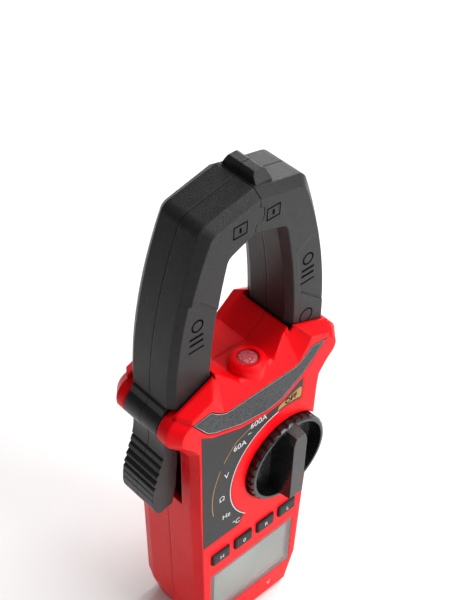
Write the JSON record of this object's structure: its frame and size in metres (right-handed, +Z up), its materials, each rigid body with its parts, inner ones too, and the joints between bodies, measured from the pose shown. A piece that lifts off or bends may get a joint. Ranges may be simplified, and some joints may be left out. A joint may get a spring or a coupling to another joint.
{
  "type": "clamp meter",
  "caption": "Hand-held clamp meter with hinged sensing jaws opened by a side trigger, a rotary range dial, keys, a display, and test-lead sockets in its bottom end.",
  "frame": {"origin": "middle of the flat bottom end, on the parting plane of the case", "axes": "+Z up from the bottom end towards the jaw tips, +X to the meter's right seen from its front, -Y out of the display face"},
  "size_m": [0.0926, 0.0471, 0.242],
  "materials": {
    "case_red": "satin",
    "jaw_grey": "fine spark texture",
    "panel_grey": "textured",
    "lever_black": "satin",
    "dial_black": "satin gloss",
    "lens_clear": "clear, faceted",
    "lcd_glass": "clear",
    "lcd_grey": "display",
    "board_green": "solder mask",
    "chip_black": "epoxy",
    "core_steel": "laminated",
    "coil_copper": "enamelled copper wire",
    "spring_steel": "drawn wire",
    "pin_steel": "ground",
    "screw_steel": "zinc plated",
    "contact_brass": "bright",
    "cell_body": "printed sleeve",
    "key_rubber": "matte",
    "key_grey": "satin",
    "led_red": "clear tinted",
    "shroud_black": "satin",
    "shroud_red": "satin"
  },
  "bodies": {
    "meter": {"front_case": "case_red", "rear_case": "case_red", "label_band": "panel_grey", "range_panel": "panel_grey", "lcd_window": "lcd_glass", "lcd_module": "lcd_grey", "main_board": "board_green", "board_chips": "chip_black", "buzzer": "chip_black", "hall_sensor": "chip_black", "ncv_led": "led_red", "ncv_lens": "lens_clear", "fixed_jaw_front": "jaw_grey", "fixed_jaw_rear": "jaw_grey", "fixed_core": "core_steel", "fixed_coil": "coil_copper", "jaw_pivot_pin": "pin_steel", "jaw_spring": "spring_steel", "key_mat": "key_rubber", "common_shroud": "shroud_black", "common_socket": "contact_brass", "volt_shroud": "shroud_red", "volt_socket": "contact_brass", "battery_cells": "cell_body", "battery_contacts": "contact_brass", "battery_door": "case_red", "door_screw": "screw_steel", "case_screws": "screw_steel"},
    "moving_jaw": {"moving_jaw_front": "jaw_grey", "moving_jaw_rear": "jaw_grey", "moving_core": "core_steel", "moving_coil": "coil_copper", "trigger_front": "lever_black", "trigger_rear": "lever_black"},
    "dial": {"rotary_dial": "dial_black", "dial_rotor": "shroud_black", "dial_wiper": "contact_brass", "detent_ball": "pin_steel", "detent_spring": "spring_steel"},
    "hold_key": {"hold_key": "key_grey"},
    "zero_key": {"zero_key": "key_grey"},
    "range_key": {"range_key": "key_grey"},
    "light_key": {"light_key": "key_grey"}
  },
  "joints": [
    {"name": "jaw_hinge", "type": "hinge", "parent": "meter", "child": "moving_jaw", "pos_m": [-0.037, 0, 0.146], "axis": [0, -1, 0], "range_deg": [0, 20], "stiffness_Nm_per_rad": 0.4, "springref_deg": -28.65},
    {"name": "dial_turn", "type": "hinge", "parent": "meter", "child": "dial", "pos_m": [0.015, 0, 0.0965], "axis": [0, -1, 0], "range_deg": [0, 136]},
    {"name": "hold_press", "type": "slide", "parent": "meter", "child": "hold_key", "axis": [0, 1, 0], "range_m": [0, 0.0008], "stiffness_N_per_m": 800},
    {"name": "zero_press", "type": "slide", "parent": "meter", "child": "zero_key", "axis": [0, 1, 0], "range_m": [0, 0.0008], "stiffness_N_per_m": 800},
    {"name": "range_press", "type": "slide", "parent": "meter", "child": "range_key", "axis": [0, 1, 0], "range_m": [0, 0.0008], "stiffness_N_per_m": 800},
    {"name": "light_press", "type": "slide", "parent": "meter", "child": "light_key", "axis": [0, 1, 0], "range_m": [0, 0.0008], "stiffness_N_per_m": 800}
  ]
}
